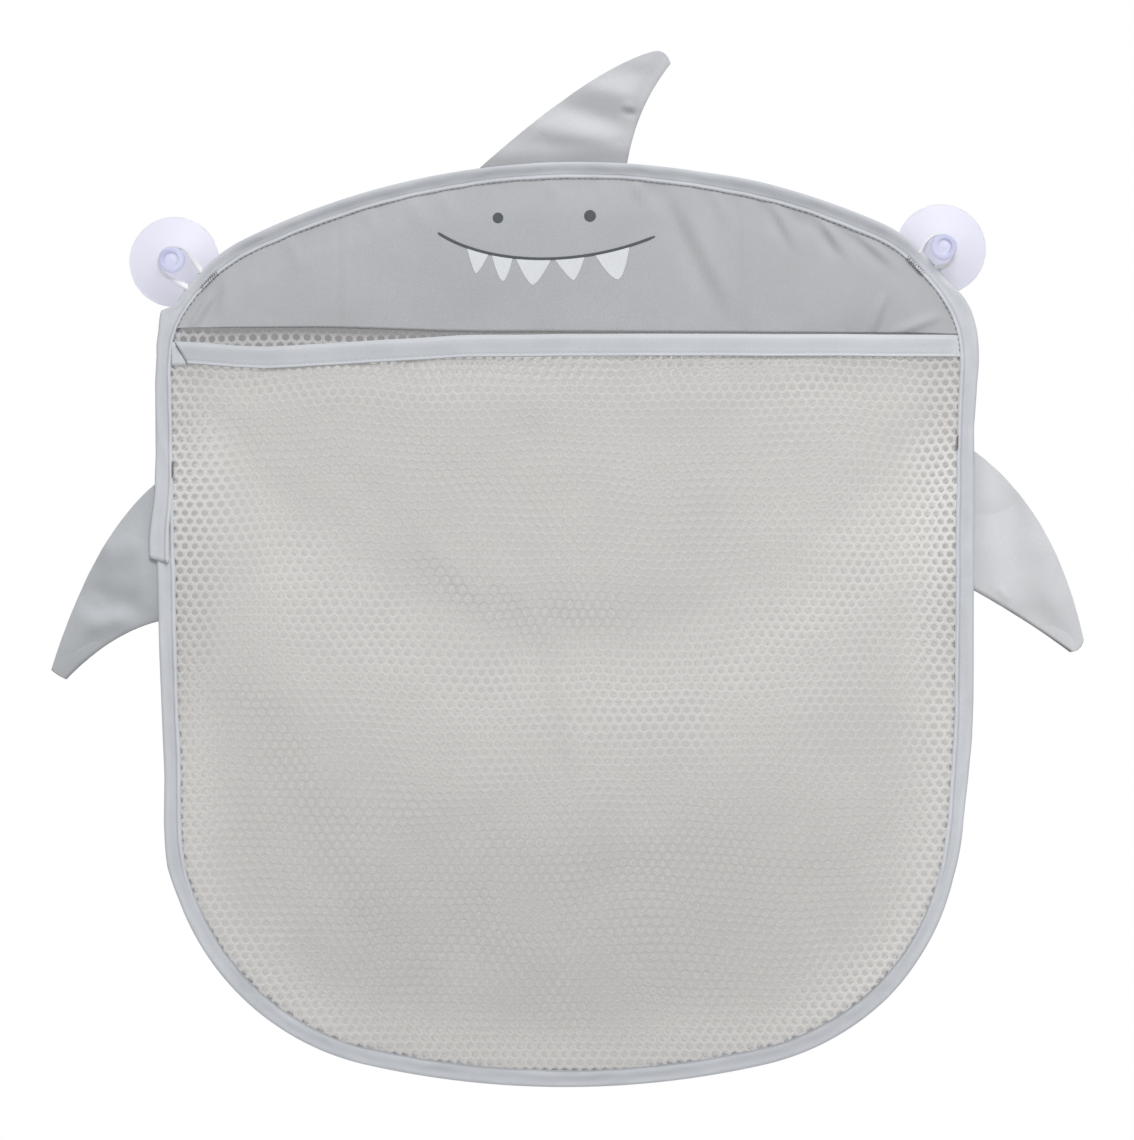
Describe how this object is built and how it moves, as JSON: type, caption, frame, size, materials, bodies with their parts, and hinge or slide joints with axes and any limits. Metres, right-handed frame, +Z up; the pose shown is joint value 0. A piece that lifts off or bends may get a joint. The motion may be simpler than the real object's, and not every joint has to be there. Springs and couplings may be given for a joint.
{
  "type": "bath toy organizer",
  "caption": "Hanging shark-shaped net bag for bath toys, with a woven head panel, tape-bound edge, open pocket, padded fins and suction cups on elastic loops.",
  "frame": {"origin": "on the wall plane, at the middle of the bag's width and level with the suction cups", "axes": "+X to the viewer's right, +Y into the wall, +Z up"},
  "size_m": [0.512, 0.0404, 0.521],
  "materials": {
    "net": "soft white polyester net",
    "head_fabric": "grey plain woven polyester",
    "edge_tape": "light grey folded tape",
    "mouth_tape": "light grey folded tape",
    "fin_fabric": "grey plain woven polyester",
    "wadding": "white polyester wadding",
    "elastic": "white elastic tape",
    "cup_pvc": "clear soft PVC with a lilac cast"
  },
  "bodies": {
    "bag": {"back_mesh": "net", "front_mesh": "net", "head_panel": "head_fabric", "edge_binding": "edge_tape", "mouth_binding": "mouth_tape"},
    "dorsal_fin": {"dorsal_fin_front": "fin_fabric", "dorsal_fin_back": "fin_fabric", "dorsal_fin_wadding": "wadding"},
    "left_fin": {"left_fin_front": "fin_fabric", "left_fin_back": "fin_fabric", "left_fin_wadding": "wadding"},
    "right_fin": {"right_fin_front": "fin_fabric", "right_fin_back": "fin_fabric", "right_fin_wadding": "wadding"},
    "left_loop": {"left_loop": "elastic"},
    "right_loop": {"right_loop": "elastic"},
    "left_cup": {"left_cup": "cup_pvc"},
    "right_cup": {"right_cup": "cup_pvc"}
  },
  "joints": [
    {"name": "dorsal_fin_flap", "type": "hinge", "parent": "bag", "child": "dorsal_fin", "pos_m": [-0.00564, -0.01275, 0.04327], "axis": [0.9995, 0, 0.0322], "range_deg": [-90, 90], "stiffness_Nm_per_rad": 0.02},
    {"name": "left_fin_flap", "type": "hinge", "parent": "bag", "child": "left_fin", "pos_m": [-0.20173, -0.01275, -0.14867], "axis": [-0.0186, 0, 0.9998], "range_deg": [-90, 90], "stiffness_Nm_per_rad": 0.02},
    {"name": "right_fin_flap", "type": "hinge", "parent": "bag", "child": "right_fin", "pos_m": [0.20197, -0.01275, -0.13147], "axis": [-0.0181, 0, -0.9998], "range_deg": [-90, 90], "stiffness_Nm_per_rad": 0.02},
    {"name": "left_loop_fold", "type": "hinge", "parent": "bag", "child": "left_loop", "pos_m": [-0.18454, -0.01275, -0.0125], "axis": [0.6494, 0, 0.7604], "range_deg": [-30, 90], "stiffness_Nm_per_rad": 0.02},
    {"name": "right_loop_fold", "type": "hinge", "parent": "bag", "child": "right_loop", "pos_m": [0.18151, -0.01275, -0.0032], "axis": [0.6921, 0, -0.7218], "range_deg": [-30, 90], "stiffness_Nm_per_rad": 0.02},
    {"name": "left_cup_spin", "type": "hinge", "parent": "left_loop", "child": "left_cup", "pos_m": [-0.19648, -0.01275, -0.00231], "axis": [0, -1, 0], "continuous": true},
    {"name": "right_cup_spin", "type": "hinge", "parent": "right_loop", "child": "right_cup", "pos_m": [0.18909, -0.01275, 0.00407], "axis": [0, -1, 0], "continuous": true}
  ]
}
